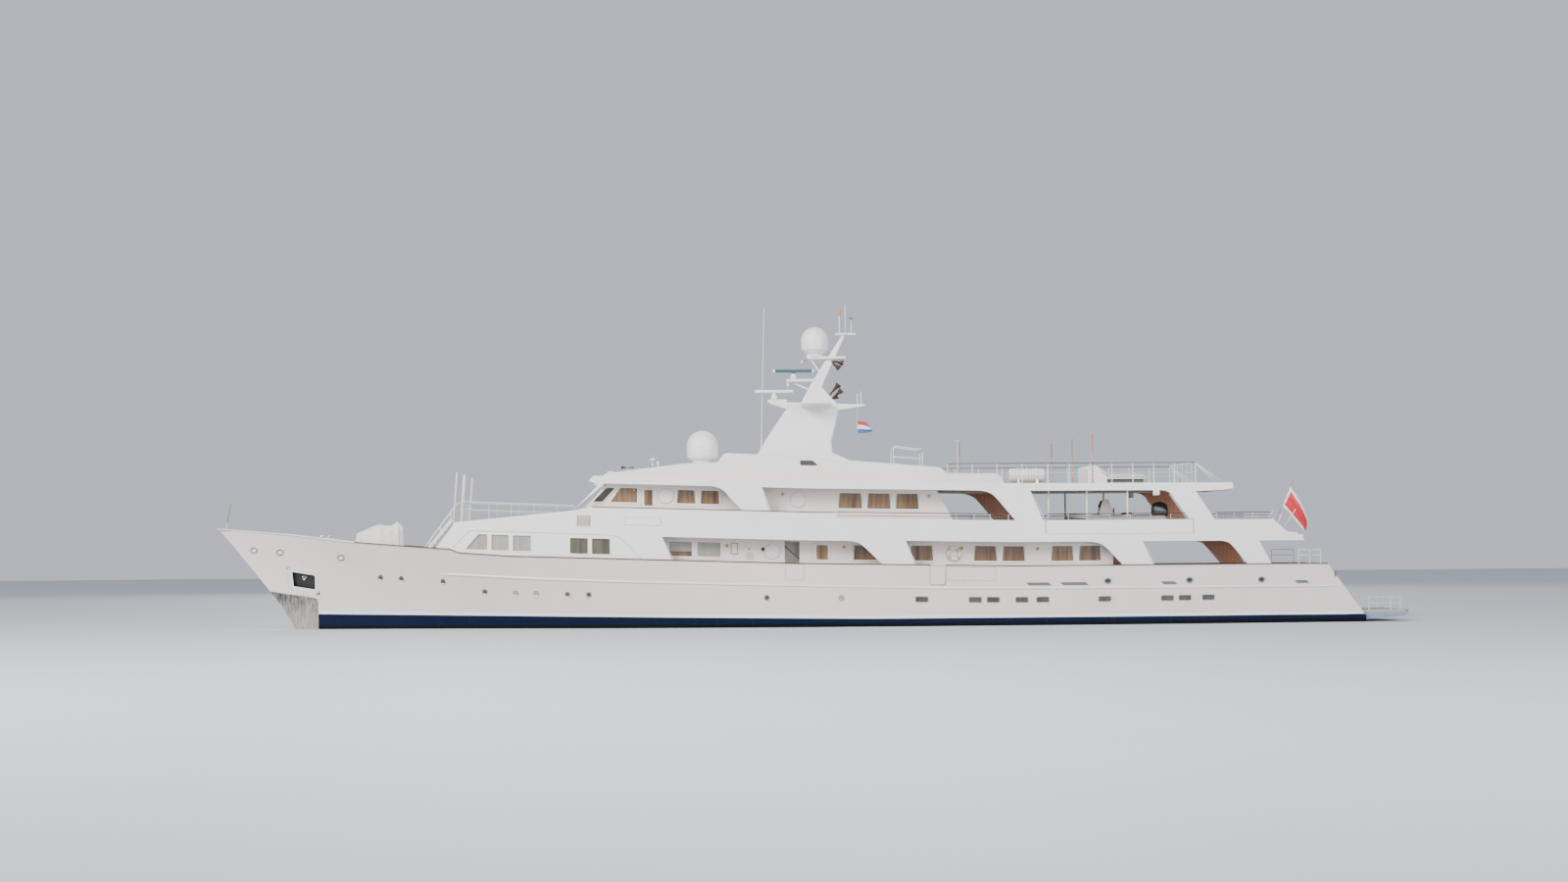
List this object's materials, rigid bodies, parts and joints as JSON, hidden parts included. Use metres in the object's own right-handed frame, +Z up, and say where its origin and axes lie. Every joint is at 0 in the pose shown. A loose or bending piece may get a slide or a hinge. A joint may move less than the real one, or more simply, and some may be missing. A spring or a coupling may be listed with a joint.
{
  "type": "displacement motor yacht, 1:2 scale model",
  "caption": "Classic raked-bow displacement motor yacht with two full decks, sun deck, raked mast with domes and radars, swim platform and whole underwater hull.",
  "frame": {"origin": "on the waterline plane, on the centreline, halfway along the hull", "axes": "+X forward to the bow, +Y to port, +Z up from the water"},
  "size_m": [31.71, 5.262, 10.3742],
  "materials": {
    "hull_paint": "warm light grey gloss hull paint",
    "white_paint": "gloss white superstructure paint",
    "varnished_teak": "dark varnished teak",
    "deck_teak": "scrubbed teak planking",
    "dome_plastic": "white moulded housing",
    "stainless": "polished stainless steel",
    "propeller_bronze": "propeller bronze",
    "platform_coating": "blue-grey non-slip coating",
    "anchor_iron": "galvanised, weathered",
    "tender_tube": "grey inflatable tube fabric",
    "cover_cloth": "white weather cover",
    "cushion_cloth": "white outdoor cushion",
    "ensign_cloth": "red bunting",
    "courtesy_cloth": "red, white and blue bunting",
    "window_glass": "tinted glass"
  },
  "bodies": {
    "yacht": {"hull": "hull_paint", "bulwarks": "hull_paint", "cap_rail_forward": "varnished_teak", "cap_rail_aft": "varnished_teak", "side_plating_port": "white_paint", "side_plating_starboard": "white_paint", "upper_screen_port": "white_paint", "upper_screen_starboard": "white_paint", "upper_deck": "deck_teak", "sun_deck": "deck_teak", "aft_bulwark": "white_paint", "forward_bulkhead": "white_paint", "main_house": "white_paint", "upper_house": "white_paint", "roof_house": "white_paint", "mast": "white_paint", "satellite_dome_roof": "dome_plastic", "satellite_dome_mast": "dome_plastic", "radar_lower_gearbox": "dome_plastic", "radar_upper_gearbox": "dome_plastic", "shaft_port": "stainless", "shaft_starboard": "stainless", "sun_deck_rail": "stainless", "upper_rail_port": "varnished_teak", "upper_rail_starboard": "varnished_teak", "terrace_rail": "stainless", "forward_ladder": "white_paint", "swim_platform": "platform_coating", "foredeck_cover": "cover_cloth", "windlass": "stainless", "anchor_starboard": "anchor_iron", "tender": "tender_tube", "liferaft": "dome_plastic", "sun_bed": "cushion_cloth", "ensign_staff": "varnished_teak", "ensign": "ensign_cloth", "courtesy_flag": "courtesy_cloth", "main_glazing": "window_glass", "upper_glazing": "window_glass"},
    "radar_lower": {"radar_lower_scanner": "dome_plastic"},
    "radar_upper": {"radar_upper_scanner": "dome_plastic"},
    "side_door_port": {"side_door_port": "white_paint"},
    "side_door_starboard": {"side_door_starboard": "white_paint"},
    "bridge_door_port": {"bridge_door_port": "white_paint"},
    "bridge_door_starboard": {"bridge_door_starboard": "white_paint"},
    "saloon_door_port": {"saloon_door_port": "varnished_teak"},
    "saloon_door_starboard": {"saloon_door_starboard": "varnished_teak"},
    "upper_door_port": {"upper_door_port": "varnished_teak"},
    "upper_door_starboard": {"upper_door_starboard": "varnished_teak"},
    "boarding_gate_port": {"boarding_gate_port": "hull_paint"},
    "boarding_gate_starboard": {"boarding_gate_starboard": "hull_paint"},
    "boat_flap_port": {"boat_flap_port": "white_paint"},
    "boat_flap_starboard": {"boat_flap_starboard": "white_paint"},
    "foredeck_hatch": {"foredeck_hatch": "white_paint"},
    "propeller_port": {"propeller_port": "propeller_bronze"},
    "propeller_starboard": {"propeller_starboard": "propeller_bronze"},
    "rudder_port": {"rudder_port": "hull_paint"},
    "rudder_starboard": {"rudder_starboard": "hull_paint"},
    "fin_port": {"stabiliser_fin_port": "hull_paint"},
    "fin_starboard": {"stabiliser_fin_starboard": "hull_paint"}
  },
  "joints": [
    {"name": "radar_lower_spin", "type": "hinge", "parent": "yacht", "child": "radar_lower", "pos_m": [0.245, 0, 6.2], "axis": [0, 0, 1], "continuous": true},
    {"name": "radar_upper_spin", "type": "hinge", "parent": "yacht", "child": "radar_upper", "pos_m": [-0.285, 0, 6.8], "axis": [0, 0, 1], "continuous": true},
    {"name": "side_door_port_hinge", "type": "hinge", "parent": "yacht", "child": "side_door_port", "pos_m": [-0.693, 1.95912, 1.6], "axis": [0, 0, -1], "range_deg": [0, 95]},
    {"name": "side_door_starboard_hinge", "type": "hinge", "parent": "yacht", "child": "side_door_starboard", "pos_m": [-0.693, -1.95912, 1.6], "axis": [0, 0, 1], "range_deg": [0, 95]},
    {"name": "bridge_door_port_hinge", "type": "hinge", "parent": "yacht", "child": "bridge_door_port", "pos_m": [3.817, 1.95912, 3.1], "axis": [0, 0, -1], "range_deg": [0, 90]},
    {"name": "bridge_door_starboard_hinge", "type": "hinge", "parent": "yacht", "child": "bridge_door_starboard", "pos_m": [3.817, -1.95912, 3.1], "axis": [0, 0, 1], "range_deg": [0, 90]},
    {"name": "saloon_door_port_hinge", "type": "hinge", "parent": "yacht", "child": "saloon_door_port", "pos_m": [-8.60912, 0.457, 1.5], "axis": [0, 0, -1], "range_deg": [0, 95]},
    {"name": "saloon_door_starboard_hinge", "type": "hinge", "parent": "yacht", "child": "saloon_door_starboard", "pos_m": [-8.60912, -0.457, 1.5], "axis": [0, 0, 1], "range_deg": [0, 95]},
    {"name": "upper_door_port_hinge", "type": "hinge", "parent": "yacht", "child": "upper_door_port", "pos_m": [-3.96912, 0.457, 2.9], "axis": [0, 0, -1], "range_deg": [0, 95]},
    {"name": "upper_door_starboard_hinge", "type": "hinge", "parent": "yacht", "child": "upper_door_starboard", "pos_m": [-3.96912, -0.457, 2.9], "axis": [0, 0, 1], "range_deg": [0, 95]},
    {"name": "boarding_gate_port_hinge", "type": "hinge", "parent": "yacht", "child": "boarding_gate_port", "pos_m": [-3.723, 2.51875, 1.54347], "axis": [0, 0.0718, 0.9974], "range_deg": [0, 90]},
    {"name": "boarding_gate_starboard_hinge", "type": "hinge", "parent": "yacht", "child": "boarding_gate_starboard", "pos_m": [-3.723, -2.51875, 1.54347], "axis": [0, 0.0718, -0.9974], "range_deg": [0, 90]},
    {"name": "boat_flap_port_hinge", "type": "hinge", "parent": "yacht", "child": "boat_flap_port", "pos_m": [-8.75, 2.4451, 2.372], "axis": [-0.9966, -0.0821, 0], "range_deg": [0, 90]},
    {"name": "boat_flap_starboard_hinge", "type": "hinge", "parent": "yacht", "child": "boat_flap_starboard", "pos_m": [-8.75, -2.4451, 2.372], "axis": [0.9966, -0.0821, 0], "range_deg": [0, 90]},
    {"name": "foredeck_hatch_hinge", "type": "hinge", "parent": "yacht", "child": "foredeck_hatch", "pos_m": [13.86, 0, 2.1876], "axis": [0, 1, 0], "range_deg": [0, 90]},
    {"name": "propeller_port_spin", "type": "hinge", "parent": "yacht", "child": "propeller_port", "pos_m": [-12.05, 1.08, -1.13], "axis": [1, 0, 0], "continuous": true},
    {"name": "propeller_starboard_spin", "type": "hinge", "parent": "yacht", "child": "propeller_starboard", "pos_m": [-12.05, -1.08, -1.13], "axis": [1, 0, 0], "continuous": true},
    {"name": "rudder_port_turn", "type": "hinge", "parent": "yacht", "child": "rudder_port", "pos_m": [-12.98, 1.08, -1], "axis": [0, 0, 1], "range_deg": [-35, 35]},
    {"name": "rudder_starboard_turn", "type": "hinge", "parent": "yacht", "child": "rudder_starboard", "pos_m": [-12.98, -1.08, -1], "axis": [0, 0, 1], "range_deg": [-35, 35]},
    {"name": "fin_port_turn", "type": "hinge", "parent": "yacht", "child": "fin_port", "pos_m": [0.45, 2.0117, -1.12], "axis": [0, 0.788, -0.6157], "range_deg": [-20, 20]},
    {"name": "fin_starboard_turn", "type": "hinge", "parent": "yacht", "child": "fin_starboard", "pos_m": [0.45, -2.0117, -1.12], "axis": [0, -0.788, -0.6157], "range_deg": [-20, 20]}
  ],
  "couplings": [
    {"joint": "rudder_starboard_turn", "follows": "rudder_port_turn", "ratio": 1}
  ]
}
